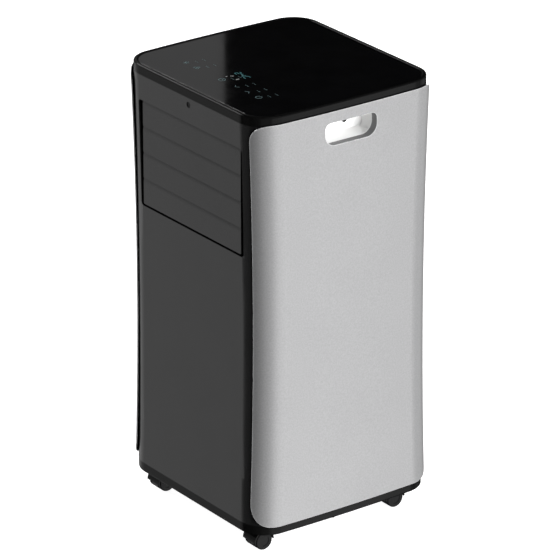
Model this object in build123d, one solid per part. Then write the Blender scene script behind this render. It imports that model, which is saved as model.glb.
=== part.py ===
from build123d import *
import math
import os

# A portable air conditioner on castors. Millimetres, +Z up, floor at z = 0.
# The outlet slats face -Y, the exhaust collar faces +Y.

# Outer form
TOTAL_HEIGHT = 703.0
CASTOR_HEIGHT = 36.0
BASE_BAND = 15.5
CAP_HEIGHT = 15.0
BODY_WIDTH = 348.5
BODY_DEPTH = 330.0
CORNER_R = 44.8
SIDE_BOW = 4.7
WAIST = 5.0
WALL = 2.5
CHEEK_BACK = 55.0
FLOOR_THICK = 3.0
BASE_EDGE_R = 2.4
NUB_R = 3.2
NUB_DROP = 1.6
NUB_Y = -23.5
FIT_GAP = 0.4
RUN_GAP = 0.05
SEAT_GAP = 0.1

BASE_Z0 = CASTOR_HEIGHT
BASE_Z1 = BASE_Z0 + BASE_BAND
FLOOR_Z = BASE_Z0 + FLOOR_THICK
CAP_Z0 = TOTAL_HEIGHT - CAP_HEIGHT
MID_Z = (BASE_Z1 + CAP_Z0) / 2
HALF_Z = (CAP_Z0 - BASE_Z1) / 2
BOW_R = (BODY_DEPTH / 2) ** 2 / (2 * SIDE_BOW) + SIDE_BOW / 2
SEAM_OVERRUN = 14.0
REACH = 2 * TOTAL_HEIGHT
CHEEK_Y = BODY_DEPTH / 2 - CHEEK_BACK

# Side panels: silver skin bonded to a dark carrier
PANEL_PROUD = 3.25
PANEL_FLARE = 1.7
PANEL_LAP = 2.4
PANEL_BASE_LAP = 0.4
PANEL_WRAP = 61.5
PANEL_TOP_CORNER = (24.5, 26.0)
PANEL_BOTTOM_CORNER = (26.0, 38.0)
SKIN_THICK = 1.5
PANEL_Z0 = BASE_Z1 - PANEL_BASE_LAP
PANEL_Z1 = CAP_Z0 + PANEL_LAP

# Handle cut-out and the cup behind it
HANDLE_HALF_Y = 47.7
HANDLE_DROP = 28.4
HANDLE_HEIGHT = 36.7
HANDLE_TOP_R = 11.0
HANDLE_BOTTOM_R = 18.5
COLLAR_DEPTH = 14.0
COLLAR_WALL = 1.5
FRAME_EDGE = 22.0
CUP_DEPTH = 35.0
CUP_WALL = 2.0
CUP_RELIEF = 8.0
CUP_SCREW_R = 4.4
CUP_SCREW_H = 2.0
CUP_SCREW_Y = 21.0
CUP_SCREW_RISE = 16.0
HANDLE_Z1 = TOTAL_HEIGHT - HANDLE_DROP
HANDLE_Z0 = HANDLE_Z1 - HANDLE_HEIGHT
CUP_SCREW_Z = HANDLE_Z0 + CUP_SCREW_RISE

# Top cover and glass
GLASS_INSET = 6.5
GLASS_THICK = 3.0
GLASS_SINK = 0.9
GLASS_GAP = 0.8
GLASS_EDGE_R = 0.5
CAP_EDGE_R = 2.4
RIM_EDGE_R = 1.6
CAP_DECK = 4.0
DISPLAY_X = 2.4
DISPLAY_BACK = 98.0
DISPLAY_W = 32.0
DISPLAY_D = 11.0
BOARD_W = 204.0
BOARD_D = 62.0
BOARD_BACK = 78.0
BOARD_THICK = 1.6
BOARD_DROP = 3.0
BOARD_POST_R = 3.0
DISPLAY_Y = -BODY_DEPTH / 2 + DISPLAY_BACK
BOARD_Y = -BODY_DEPTH / 2 + BOARD_BACK

# Receiver window above the outlet
IR_DROP = 25.6
IR_R = 4.6
IR_FLANGE_R = 6.9
IR_SINK = 1.0
IR_Z = TOTAL_HEIGHT - IR_DROP

# Air outlet and its slats
OPENING_SIDE = 43.45
OPENING_DROP = 54.8
OPENING_HEIGHT = 170.5
OPENING_R = 6.2
SLAT_COUNT = 4
SLAT_GAP = 0.3
SLAT_TOP_CLEAR = 1.5
SLAT_BOTTOM_CLEAR = 3.4
SLAT_THICK = 2.5
SLAT_END_CLEAR = 6.6
SLAT_FACE_BACK = 4.5
SLAT_BEND = 6.0
SLAT_LEAN = 0.85
SLAT_CORNER_R = 2.0
PIVOT_BACK = 10.0
PIVOT_R = 2.0
PIVOT_BOSS_R = 4.0
EAR_THICK = 3.0
EAR_HALF = 9.0
CRANK_LENGTH = 10.0
CRANK_PIN_R = 1.5
CRANK_HALF_W = 3.0
OPEN_ANGLE = 75.0
LINK_THICK = 2.4
LINK_WIDTH = 7.0
LINK_OFFSET = 1.0
DUCT_CLEAR = 2.2
DUCT_WALL = 2.0
DUCT_DEPTH = 57.0
VANE_COUNT = 7
VANE_THICK = 1.6
VANE_DEPTH = 15.0
VANE_RAIL = 2.0
VANE_MARGIN = 17.8
STEP_MOTOR_R = 11.0
STEP_MOTOR_LENGTH = 11.0
STEP_MOTOR_OFFSET = 8.0
STEP_MOTOR_SLAT = 2

OPENING_HALF_W = BODY_WIDTH / 2 - OPENING_SIDE
OPENING_Z1 = TOTAL_HEIGHT - OPENING_DROP
OPENING_Z0 = OPENING_Z1 - OPENING_HEIGHT
SLAT_HALF_LENGTH = OPENING_HALF_W - SLAT_END_CLEAR
VANE_SPREAD = OPENING_HALF_W - VANE_MARGIN
DUCT_BACK_Y = -BODY_DEPTH / 2 + DUCT_DEPTH
SLAT_PITCH = (OPENING_HEIGHT - SLAT_TOP_CLEAR - SLAT_BOTTOM_CLEAR) / SLAT_COUNT
SLAT_HEIGHT = SLAT_PITCH - SLAT_GAP
SLAT_FACE_Y = -BODY_DEPTH / 2 + SLAT_FACE_BACK
PIVOT_Y = SLAT_FACE_Y + PIVOT_BACK
DUCT_HALF_W = OPENING_HALF_W + DUCT_CLEAR
DUCT_Z0 = OPENING_Z0 - DUCT_CLEAR
DUCT_Z1 = OPENING_Z1 + DUCT_CLEAR

# Blowers: a drum in a growing scroll, both with their shaft along X
DRUM_R = 58.0
DRUM_WIDTH = 96.0
BLADE_COUNT = 26
BLADE_DEPTH = 10.0
BLADE_THICK = 1.4
BLADE_TILT = 30.0
DRUM_PLATE = 2.5
HUB_R = 9.0
SHAFT_R = 4.0
SCROLL_START_R = 63.0
SCROLL_END_R = 92.0
SCROLL_TONGUE = 40.0
SCROLL_TURN = 310.0
SCROLL_STEPS = 24
SCROLL_WALL = 2.0
SCROLL_HALF_W = 52.0
INLET_R = 46.0
BLOWER_MOTOR_R = 42.0
BLOWER_MOTOR_LENGTH = 55.0
BLOWER_MOTOR_EDGE_R = 8.0

# Cold section: deck, coil and blower
DECK_DROP = 12.7
DECK_THICK = 3.0
DECK_LIP = 9.0
EVAPORATOR_BLOWER_Y = 0.0
EVAPORATOR_BLOWER_RISE = 87.0
EVAPORATOR_HEIGHT = 179.0
EVAPORATOR_BACK = 64.0
DECK_Z = OPENING_Z0 - DECK_DROP
EVAPORATOR_BLOWER_Z = DECK_Z + EVAPORATOR_BLOWER_RISE
EVAPORATOR_TOP = DECK_Z + DECK_THICK + EVAPORATOR_HEIGHT
EVAPORATOR_Y = BODY_DEPTH / 2 - EVAPORATOR_BACK

# Warm section: coil, blower and exhaust
COLLAR_DROP = 73.0
COLLAR_R = 66.0
COLLAR_TUBE = 3.0
COLLAR_LENGTH = 30.0
CONDENSER_BLOWER_Y = 4.0
CONDENSER_BACK = 59.0
CONDENSER_DROP = 77.0
COLLAR_Z = DECK_Z - COLLAR_DROP
CONDENSER_Y = BODY_DEPTH / 2 - CONDENSER_BACK
CONDENSER_TOP = COLLAR_Z - CONDENSER_DROP

# Coils
COIL_SIDE = 52.25
COIL_REST_SIDE = 22.0
COIL_DEPTH = 28.0
FIN_PITCH = 5.0
FIN_THICK = 1.6
COIL_SPINE = 8.0
COIL_PLATE = 2.0
BEND_R = 9.0
BEND_TUBE_R = 3.5
COIL_HALF_W = BODY_WIDTH / 2 - COIL_SIDE
COIL_REST_HALF = COIL_HALF_W - COIL_REST_SIDE

# Intakes, their grilles and filters
INTAKE_SIDE = 56.25
UPPER_INTAKE_RISE = 18.0
UPPER_INTAKE_HEIGHT = 162.0
LOWER_INTAKE_RISE = 26.5
LOWER_INTAKE_DROP = 81.0
INTAKE_R = 8.0
GRILLE_EDGE = 9.0
GRILLE_BAR = 4.0
GRILLE_SLOT = 6.0
GRILLE_RIM = 7.0
FILTER_THICK = 4.0
FILTER_EDGE = 7.0
FILTER_RIB = 1.6
FILTER_COLUMNS = 6
FILTER_ROWS = 4
FILTER_SHEET = 0.6
RIM_WALL = 1.6
INTAKE_HALF_W = BODY_WIDTH / 2 - INTAKE_SIDE
UPPER_INTAKE_Z0 = DECK_Z + UPPER_INTAKE_RISE
UPPER_INTAKE_Z = (UPPER_INTAKE_Z0, UPPER_INTAKE_Z0 + UPPER_INTAKE_HEIGHT)
LOWER_INTAKE_Z = (BASE_Z1 + LOWER_INTAKE_RISE, COLLAR_Z - LOWER_INTAKE_DROP)

# Drains and cord inlet
SERVICE_DROP = 45.0
UPPER_DRAIN_SIDE = 62.25
UPPER_DRAIN_R = 11.0
LOWER_DRAIN_X = -60.0
LOWER_DRAIN_R = 4.0
DRAIN_WELL_WALL = 1.6
DRAIN_CAP_RATIO = 0.55
DRAIN_STEM_RATIO = 0.5
DRAIN_WELL_DEPTH = 16.0
DRAIN_CAP_DEPTH = 7.0
INLET_SIDE = 69.25
GLAND_R = 9.0
GLAND_BORE_R = 4.5
GLAND_FLANGE = 3.0
GLAND_LENGTH = 14.0
UPPER_DRAIN_X = -BODY_WIDTH / 2 + UPPER_DRAIN_SIDE
UPPER_DRAIN_Z = COLLAR_Z - SERVICE_DROP
INLET_X = BODY_WIDTH / 2 - INLET_SIDE
INLET_Z = COLLAR_Z - SERVICE_DROP

# Castors: a broad roller and two side discs on a fork, trailing towards -Y
CASTOR_SIDE = 48.25
CASTOR_FRONT_END = 44.5
CASTOR_REAR_END = 37.0
TRAIL = 11.0
WHEEL_R = 14.6
WHEEL_HALF_W = 15.4
WHEEL_EDGE_R = 1.8
ROLLER_HALF_W = 9.0
ROLLER_EDGE_R = 1.0
HUB_CAP_R = 8.5
HUB_CAP_SINK = 0.8
ARM_THICK = 2.0
ARM_GAP = 0.4
ARM_R = 8.0
AXLE_R = 3.0
HOOD_GAP = 1.2
HOOD_THICK = 1.8
SWIVEL_GAP = 0.6
SWIVEL_PLATE_R = 15.0
STEM_R = 5.0
STEM_LENGTH = 20.0
BOSS_WALL = 5.0
CASTOR_X = BODY_WIDTH / 2 - CASTOR_SIDE
CASTOR_FRONT_Y = -BODY_DEPTH / 2 + CASTOR_FRONT_END
CASTOR_REAR_Y = BODY_DEPTH / 2 - CASTOR_REAR_END

# Compressor group
COMPRESSOR_SIDE = 126.25
COMPRESSOR_FRONT = 107.0
COMPRESSOR_DROP = 159.0
COMPRESSOR_R = 50.0
COMPRESSOR_DOME_R = 20.0
FOOT_THICK = 4.0
FOOT_R = 60.0
MOUNT_CIRCLE_R = 51.0
MOUNT_R = 9.0
MOUNT_HEIGHT = 14.0
MOUNT_COUNT = 3
ACCUMULATOR_R = 21.0
ACCUMULATOR_GAP = 9.0
ACCUMULATOR_ANGLE = 120.0
ACCUMULATOR_RISE = 53.0
ACCUMULATOR_DROP = 31.0
STRAP_HALF = 8.0
COMPRESSOR_X = -BODY_WIDTH / 2 + COMPRESSOR_SIDE
COMPRESSOR_Y = -BODY_DEPTH / 2 + COMPRESSOR_FRONT
COMPRESSOR_TOP = COLLAR_Z - COMPRESSOR_DROP
ACCUMULATOR_Z = (FLOOR_Z + ACCUMULATOR_RISE, COMPRESSOR_TOP - ACCUMULATOR_DROP)
STRAP_Z = (ACCUMULATOR_Z[0] + ACCUMULATOR_Z[1]) / 2

# Pipes
PIPE_R = 4.0
PIPE_BEND_R = 10.0
CAPILLARY_R = 1.6
CAPILLARY_BEND_R = 6.0
DRIER_R = 9.0
DRIER_LENGTH = 60.0
PIPE_OUT = 14.0
SUCTION_OUT = 28.0
CAPILLARY_OUT = 38.0
PIPE_SIDE_X = COIL_HALF_W + PIPE_OUT
SUCTION_SIDE_X = COIL_HALF_W + SUCTION_OUT
CAPILLARY_SIDE_X = COIL_HALF_W + CAPILLARY_OUT

# Electrics
BOX_SIDE = 34.25
BOX_WIDTH = 88.0
BOX_FRONT = 27.0
BOX_DEPTH = 76.0
BOX_RISE = 37.0
BOX_DROP = 10.0
BOX_WALL = 1.5
BOX_LEG = 12.0
STANDOFF = 6.0
STANDOFF_R = 3.0
CAPACITOR_R = 15.0
CAPACITOR_LENGTH = 62.0
CHIP_HEIGHT = 12.0
BOX_X = (BODY_WIDTH / 2 - BOX_SIDE - BOX_WIDTH, BODY_WIDTH / 2 - BOX_SIDE)
BOX_Y = (-BODY_DEPTH / 2 + BOX_FRONT, -BODY_DEPTH / 2 + BOX_FRONT + BOX_DEPTH)
BOX_Z = (FLOOR_Z + BOX_RISE, COMPRESSOR_TOP - BOX_DROP)

# Splash wheel in the sump, float switch
SPLASH_X = 60.0
SPLASH_FRONT = 36.0
SPLASH_R = 26.0
SPLASH_CLEAR = 4.0
SPLASH_THICK = 3.0
PADDLE_COUNT = 8
PADDLE_LENGTH = 9.0
PADDLE_HALF_W = 6.0
SPLASH_MOTOR_R = 17.0
SPLASH_MOTOR_LENGTH = 30.0
SPLASH_SHAFT_R = 2.5
FLOAT_X = 100.0
FLOAT_FRONT = 44.0
FLOAT_R = 11.0
FLOAT_STEM_R = 3.0
FLOAT_HEIGHT = 46.0
SPLASH_Y = CONDENSER_Y - SPLASH_FRONT
FLOAT_Y = CONDENSER_Y - FLOAT_FRONT


# Small shape helpers
def block(x0, x1, y0, y1, z0, z1):
    centre = Pos((x0 + x1) / 2, (y0 + y1) / 2, (z0 + z1) / 2)
    return centre * Box(x1 - x0, y1 - y0, z1 - z0)


def rounded_along_y(x0, x1, y0, y1, z0, z1, radius):
    solid = block(x0, x1, y0, y1, z0, z1)
    return fillet(solid.edges().filter_by(Axis.Y), radius)


def rod_x(radius, x0, x1, y, z):
    return Pos((x0 + x1) / 2, y, z) * Rot(0, 90, 0) * Cylinder(radius, x1 - x0)


def rod_y(radius, x, y0, y1, z):
    return Pos(x, (y0 + y1) / 2, z) * Rot(90, 0, 0) * Cylinder(radius, y1 - y0)


def rod_z(radius, x, y, z0, z1):
    return Pos(x, y, (z0 + z1) / 2) * Cylinder(radius, z1 - z0)


def tube_along(points, bend, radius):
    path = FilletPolyline(*points, radius=bend)
    start = Plane(origin=path @ 0, z_dir=path % 0)
    return sweep(start * Circle(radius), path=path)


def side_x(y, grow=0.0):
    return BODY_WIDTH / 2 - BOW_R + math.sqrt((BOW_R + grow) ** 2 - y * y)


def rear_y(z):
    rho = HALF_Z ** 2 / (2 * WAIST) + WAIST / 2
    return BODY_DEPTH / 2 - WAIST + rho - math.sqrt(rho * rho - (z - MID_Z) ** 2)


def plan_face(y_front, y_back, grow):
    """Plan outline with bowed sides between two straight ends."""
    front_x = side_x(y_front, grow)
    back_x = side_x(y_back, grow)
    y_mid = (y_front + y_back) / 2
    mid_x = side_x(y_mid, grow)
    right = ThreePointArc((front_x, y_front), (mid_x, y_mid), (back_x, y_back))
    left = ThreePointArc((-back_x, y_back), (-mid_x, y_mid), (-front_x, y_front))
    front = Line((-front_x, y_front), (front_x, y_front))
    back = Line((back_x, y_back), (-back_x, y_back))
    return make_face(Curve() + [front, right, back, left])


def straight_block(grow, z0, z1):
    """Straight block over the whole plan, for the base and the top cover."""
    half = BODY_DEPTH / 2 + grow
    face = plan_face(-half, half, grow)
    face = fillet(face.vertices(), CORNER_R + grow)
    return Pos(0, 0, z0) * extrude(face, z1 - z0)


def waisted_block(grow, z0, z1, sag=WAIST):
    """Block whose front and rear faces draw in by sag at mid height."""
    half = BODY_DEPTH / 2 - WAIST + grow
    rho = HALF_Z ** 2 / (2 * sag) + sag / 2
    face = plan_face(-half, SEAM_OVERRUN, grow)
    corners = face.vertices().sort_by(Axis.Y)[:2]
    face = fillet(corners, CORNER_R + grow)
    axis = Axis((0, -BODY_DEPTH / 2 + WAIST - rho, MID_Z), (1, 0, 0))
    sweep_angle = 2 * math.degrees(math.asin((HALF_Z + 2 * CAP_HEIGHT) / rho))
    face = (Pos(0, 0, MID_Z) * face).rotate(axis, -sweep_angle / 2)
    half_body = revolve(face, axis, sweep_angle)
    half_body = half_body & block(-REACH, REACH, -REACH, 0, z0, z1)
    return half_body + mirror(half_body, about=Plane.XZ)


def handle_prism(grow, x0, x1):
    """Handle cut-out shape along X: small radii above, large ones below."""
    solid = block(x0, x1, -HANDLE_HALF_Y - grow, HANDLE_HALF_Y + grow,
                  HANDLE_Z0 - grow, HANDLE_Z1 + grow)
    edges = solid.edges().filter_by(Axis.X).sort_by(Axis.Z)
    solid = fillet(edges[:2], HANDLE_BOTTOM_R + grow)
    edges = solid.edges().filter_by(Axis.X).sort_by(Axis.Z)
    return fillet(edges[-2:], HANDLE_TOP_R + grow)


def frame_window(grow):
    """Notch down from the top edge that the handle frame fills, along X."""
    half = HANDLE_HALF_Y + FRAME_EDGE + grow
    return block(-REACH, REACH, -half, half, HANDLE_Z0 - FRAME_EDGE - grow, REACH)


def mirror_left(shape):
    return mirror(shape, about=Plane.YZ)


# Housing
def intake_prism(z_range, shrink):
    return rounded_along_y(-INTAKE_HALF_W + shrink, INTAKE_HALF_W - shrink, 0, REACH,
                           z_range[0] + shrink, z_range[1] - shrink, INTAKE_R - shrink)


def make_shell(outer, inner):
    """Both housing halves as one hollow body, with the handle notches."""
    sides = frame_window(SEAT_GAP) - block(-panel_edge_x(), panel_edge_x(), -REACH, REACH, 0, REACH)
    return outer - inner - sides


def make_front_panel(shell):
    front = shell & block(-REACH, REACH, -REACH, 0, 0, REACH * 2)
    opening = rounded_along_y(-OPENING_HALF_W, OPENING_HALF_W, -REACH, 0,
                              OPENING_Z0, OPENING_Z1, OPENING_R)
    window = rod_y(IR_R + SEAT_GAP, 0, -REACH, 0, IR_Z)
    return front - opening - window


def make_ir_window():
    face_y = -rear_y(IR_Z)
    flange_y = -rear_y(IR_Z - IR_FLANGE_R) + WALL + SEAT_GAP
    lens = rod_y(IR_R, 0, face_y + IR_SINK, flange_y + WALL, IR_Z)
    flange = rod_y(IR_FLANGE_R, 0, flange_y, flange_y + WALL, IR_Z)
    return lens + flange


def drain_well(x, z, radius, y_mouth):
    """Sunk well with a stem bore in its floor, open towards the rear."""
    y_floor = y_mouth - DRAIN_WELL_DEPTH
    well = rod_y(radius + FIT_GAP + DRAIN_WELL_WALL, x, y_floor, y_mouth, z)
    mouth = rod_y(radius + FIT_GAP, x, y_mouth - DRAIN_CAP_DEPTH - FIT_GAP, REACH, z)
    bore = rod_y(radius * DRAIN_STEM_RATIO + RUN_GAP, x, y_floor - 1, y_mouth, z)
    return well - mouth - bore


def drain_hole(x, z, radius):
    return rod_y(radius + FIT_GAP + DRAIN_WELL_WALL / 2, x, 0, REACH, z)


def make_drain_plug(x, z, radius, y_mouth):
    cap = rod_y(radius, x, y_mouth - DRAIN_CAP_DEPTH, y_mouth, z)
    stem_end = y_mouth - DRAIN_WELL_DEPTH + 1
    stem = rod_y(radius * DRAIN_STEM_RATIO, x, stem_end, y_mouth - DRAIN_CAP_DEPTH, z)
    tab_half = radius * DRAIN_CAP_RATIO
    slot = block(x - radius, x + radius, y_mouth - 2, y_mouth, z - tab_half / 4, z + tab_half / 4)
    return cap + stem - slot


def make_rear_panel(shell):
    rear = shell & block(-REACH, REACH, CHEEK_Y, REACH, 0, REACH * 2)
    rear = rear - intake_prism(UPPER_INTAKE_Z, 0) - intake_prism(LOWER_INTAKE_Z, 0)
    rear = rear - rod_y(COLLAR_R + COLLAR_TUBE + SEAT_GAP, 0, 0, REACH, COLLAR_Z)
    rear = rear - drain_hole(UPPER_DRAIN_X, UPPER_DRAIN_Z, UPPER_DRAIN_R)
    rear = rear + drain_well(UPPER_DRAIN_X, UPPER_DRAIN_Z, UPPER_DRAIN_R, rear_y(UPPER_DRAIN_Z))
    rear = rear - rod_y(GLAND_R + SEAT_GAP, INLET_X, 0, REACH, INLET_Z)
    return rear


def make_rear_cheek(shell):
    """Side wall between the front panel and the rear panel."""
    return shell & block(0, REACH, 0, CHEEK_Y - SEAT_GAP, 0, REACH * 2)


def make_cord_inlet():
    y_out = rear_y(INLET_Z) - SEAT_GAP
    body = rod_y(GLAND_R, INLET_X, y_out - GLAND_LENGTH, y_out, INLET_Z)
    flange_y = y_out - WALL
    flange = rod_y(GLAND_R + GLAND_FLANGE, INLET_X, flange_y - GLAND_FLANGE, flange_y, INLET_Z)
    bore = rod_y(GLAND_BORE_R, INLET_X, 0, REACH, INLET_Z)
    return body + flange - bore


def make_base_tray():
    tray = straight_block(0, BASE_Z0, BASE_Z1)
    bottom = tray.faces().sort_by(Axis.Z)[0]
    tray = fillet(bottom.edges(), BASE_EDGE_R)
    tray = tray - straight_block(-WALL, FLOOR_Z, BASE_Z1 + 1)
    for x, y in castor_places():
        tray = tray + rod_z(STEM_R + BOSS_WALL, x, y, FLOOR_Z - 1, boss_top())
        tray = tray - rod_z(STEM_R + RUN_GAP, x, y, BASE_Z0 - 1, boss_top() - WALL)
    tray = tray + block(-COIL_REST_HALF, COIL_REST_HALF, CONDENSER_Y, CONDENSER_Y + COIL_DEPTH,
                        FLOOR_Z - 1, boss_top())
    for side in (-1, 1):
        nub_x = side * (side_x(NUB_Y) - 2 * NUB_R)
        tray = tray + rod_z(NUB_R, nub_x, NUB_Y, BASE_Z0 - NUB_DROP, FLOOR_Z)
    z = lower_drain_z()
    mouth = BODY_DEPTH / 2
    tray = tray - drain_hole(LOWER_DRAIN_X, z, LOWER_DRAIN_R)
    return tray + drain_well(LOWER_DRAIN_X, z, LOWER_DRAIN_R, mouth)


def lower_drain_z():
    return (FLOOR_Z + BASE_Z1) / 2


def boss_top():
    return BASE_Z0 + STEM_LENGTH + 2 * WALL


def make_top_cover():
    cover = straight_block(0, CAP_Z0, TOTAL_HEIGHT)
    top = cover.faces().sort_by(Axis.Z)[-1]
    cover = fillet(top.edges(), CAP_EDGE_R)
    deck_z = TOTAL_HEIGHT - GLASS_THICK - CAP_DECK
    cover = cover - straight_block(-GLASS_INSET, TOTAL_HEIGHT - GLASS_THICK, TOTAL_HEIGHT + 1)
    rim = cover.faces().sort_by(Axis.Z)[-1]
    cover = fillet(rim.inner_wires()[0].edges(), RIM_EDGE_R)
    cover = cover - straight_block(-2 * WALL, CAP_Z0 - 1, deck_z)
    half_w = DISPLAY_W / 2 + FIT_GAP
    half_d = DISPLAY_D / 2 + FIT_GAP
    window = block(DISPLAY_X - half_w, DISPLAY_X + half_w, DISPLAY_Y - half_d,
                   DISPLAY_Y + half_d, CAP_Z0, TOTAL_HEIGHT + 1)
    return cover - window


def make_control_glass():
    glass = straight_block(-GLASS_INSET - GLASS_GAP, TOTAL_HEIGHT - GLASS_THICK, TOTAL_HEIGHT - GLASS_SINK)
    top = glass.faces().sort_by(Axis.Z)[-1]
    return fillet(top.edges(), GLASS_EDGE_R)


def make_display_board():
    deck_z = TOTAL_HEIGHT - GLASS_THICK - CAP_DECK
    top = deck_z - BOARD_DROP
    half_w = BOARD_W / 2
    half_d = BOARD_D / 2
    board = block(DISPLAY_X - half_w, DISPLAY_X + half_w, BOARD_Y - half_d, BOARD_Y + half_d,
                  top - BOARD_THICK, top)
    lamp = block(DISPLAY_X - DISPLAY_W / 2, DISPLAY_X + DISPLAY_W / 2, DISPLAY_Y - DISPLAY_D / 2,
                 DISPLAY_Y + DISPLAY_D / 2, top, TOTAL_HEIGHT - GLASS_THICK - SEAT_GAP)
    board = board + lamp
    for sx in (-1, 1):
        for sy in (-1, 1):
            x = DISPLAY_X + sx * (half_w - 2 * BOARD_POST_R)
            y = BOARD_Y + sy * (half_d - 2 * BOARD_POST_R)
            board = board + rod_z(BOARD_POST_R, x, y, top - BOARD_THICK, deck_z)
    return board


# Side panels and handles
def panel_edge_x():
    corner_y = BODY_DEPTH / 2 - CORNER_R
    corner_x = side_x(corner_y) - CORNER_R
    return corner_x + (CORNER_R + PANEL_PROUD) * math.cos(math.radians(PANEL_WRAP))


def corner_waste(edge_x, z_end, z_inward, sizes):
    """What an elliptic outline corner takes off a panel, seen along Y."""
    a, b = sizes
    z_in = z_end + z_inward * b
    z_out = z_end - z_inward
    square = block(edge_x - 1, edge_x + a, -REACH, REACH, min(z_in, z_out), max(z_in, z_out))
    oval = extrude(Plane.XZ * Ellipse(a, b), REACH, both=True)
    return square - Pos(edge_x + a, 0, z_in) * oval


def panel_region():
    edge_x = panel_edge_x()
    region = block(edge_x, REACH, -REACH, REACH, PANEL_Z0, PANEL_Z1)
    region = region - corner_waste(edge_x, PANEL_Z1, -1, PANEL_TOP_CORNER)
    return region - corner_waste(edge_x, PANEL_Z0, 1, PANEL_BOTTOM_CORNER)


def panel_surface(grow):
    return waisted_block(grow, PANEL_Z0 - 1, PANEL_Z1 + 1, WAIST + PANEL_FLARE)


def collar_x():
    return side_x(0) + PANEL_PROUD - COLLAR_DEPTH


def make_side_skin(region):
    skin = (panel_surface(PANEL_PROUD) & region) - panel_surface(PANEL_PROUD - SKIN_THICK)
    return skin - handle_prism(0, 0, REACH)


def make_side_carrier(bond, region):
    inside = waisted_block(SEAT_GAP, PANEL_Z0 - 2, PANEL_Z1 + 2)
    return (bond & region) - inside - frame_window(SEAT_GAP)


def make_handle_frame(bond, region, inner):
    """Wall round the handle with the collar that lines the cut-out."""
    under_cap = waisted_block(SEAT_GAP, CAP_Z0, PANEL_Z1 + 2)
    frame = (bond & region & frame_window(0)) - inner - under_cap
    frame = frame + (handle_prism(COLLAR_WALL, collar_x(), REACH) & bond)
    return frame - handle_prism(0, 0, REACH)


def make_handle_cup():
    mouth = collar_x()
    y_half = HANDLE_HALF_Y + CUP_RELIEF
    z0 = HANDLE_Z0 - CUP_WALL
    z1 = HANDLE_Z1 + CUP_RELIEF
    cup = block(mouth - CUP_DEPTH, mouth, -y_half, y_half, z0, z1)
    edges = cup.edges().filter_by(Axis.X)
    cup = fillet(edges, CUP_RELIEF)
    hollow = block(mouth - CUP_DEPTH + CUP_WALL, mouth - CUP_WALL, -y_half + CUP_WALL,
                   y_half - CUP_WALL, z0 + CUP_WALL, z1 - CUP_WALL)
    hollow = fillet(hollow.edges().filter_by(Axis.X), CUP_RELIEF - CUP_WALL)
    back_x = mouth - CUP_DEPTH + CUP_WALL
    screw = rod_x(CUP_SCREW_R, back_x, back_x + CUP_SCREW_H, CUP_SCREW_Y, CUP_SCREW_Z)
    cup = cup - hollow - handle_prism(0, mouth - CUP_DEPTH / 2, REACH)
    return cup, screw


# Outlet slats, their link, duct, vanes and motor
def slat_z(number):
    return OPENING_Z1 - SLAT_TOP_CLEAR - SLAT_PITCH * (number - 0.5)


def crank_pin(number):
    angle = math.radians(-OPEN_ANGLE / 2)
    y = PIVOT_Y + CRANK_LENGTH * math.cos(angle)
    z = slat_z(number) + CRANK_LENGTH * math.sin(angle)
    return y, z


def ear_at(x0, number):
    """End web from the slat plate back to its pivot boss."""
    z = slat_z(number)
    plate_back = SLAT_FACE_Y + SLAT_THICK
    outline = Polyline((plate_back - 0.5, z - EAR_HALF), (PIVOT_Y, z - PIVOT_BOSS_R),
                       (PIVOT_Y, z + PIVOT_BOSS_R), (plate_back - 0.5, z + EAR_HALF), close=True)
    web = extrude(Plane.YZ * make_face(outline), EAR_THICK)
    boss = rod_x(PIVOT_BOSS_R, x0, x0 + EAR_THICK, PIVOT_Y, z)
    return Pos(x0, 0, 0) * web + boss


def make_slat_plate(z):
    """Plate with a flat face whose top bends back behind the slat above."""
    low = z - SLAT_HEIGHT / 2
    high = z + SLAT_HEIGHT / 2
    front = SLAT_FACE_Y
    back = SLAT_FACE_Y + SLAT_THICK
    bend = (front, high - SLAT_BEND)
    tip = (front + SLAT_LEAN, high)
    outline = Polyline(tip, (back, high), (back, low), (front, low), bend)
    outline = outline + TangentArc(bend, tip, tangent=(0, 1))
    plate = Pos(-SLAT_HALF_LENGTH, 0, 0) * extrude(Plane.YZ * make_face(outline), 2 * SLAT_HALF_LENGTH)
    return fillet(plate.edges().filter_by(Axis.Y), SLAT_CORNER_R)


def make_slat(number):
    z = slat_z(number)
    slat = make_slat_plate(z) + ear_at(-SLAT_HALF_LENGTH, number)
    slat = slat + ear_at(SLAT_HALF_LENGTH - EAR_THICK, number)
    pivot_end = DUCT_HALF_W + DUCT_WALL + 1
    for side in (-1, 1):
        inner = side * (SLAT_HALF_LENGTH - EAR_THICK)
        outer = side * pivot_end
        slat = slat + rod_x(PIVOT_R, min(inner, outer), max(inner, outer), PIVOT_Y, z)
    return slat + make_crank(number)


def make_crank(number):
    y, z = crank_pin(number)
    x0 = -SLAT_HALF_LENGTH
    arm = Box(EAR_THICK, CRANK_LENGTH, 2 * CRANK_HALF_W)
    arm = Rot(-OPEN_ANGLE / 2, 0, 0) * Pos(EAR_THICK / 2, CRANK_LENGTH / 2, 0) * arm
    arm = Pos(x0, PIVOT_Y, slat_z(number)) * arm
    tip = rod_x(CRANK_HALF_W, x0, x0 + EAR_THICK, y, z)
    pin = rod_x(CRANK_PIN_R, link_x()[0] - LINK_OFFSET / 2, x0 + EAR_THICK, y, z)
    return arm + tip + pin


def link_x():
    outer = -SLAT_HALF_LENGTH - LINK_OFFSET
    return outer - LINK_THICK, outer


def make_link():
    x0, x1 = link_x()
    y, top = crank_pin(1)
    bottom = crank_pin(SLAT_COUNT)[1]
    half = LINK_WIDTH / 2
    bar = block(x0, x1, y - half, y + half, bottom, top)
    for z in (bottom, top):
        bar = bar + rod_x(half, x0, x1, y, z)
    for number in range(1, SLAT_COUNT + 1):
        bar = bar - rod_x(CRANK_PIN_R + RUN_GAP, x0 - 1, x1 + 1, y, crank_pin(number)[1])
    return bar


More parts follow.
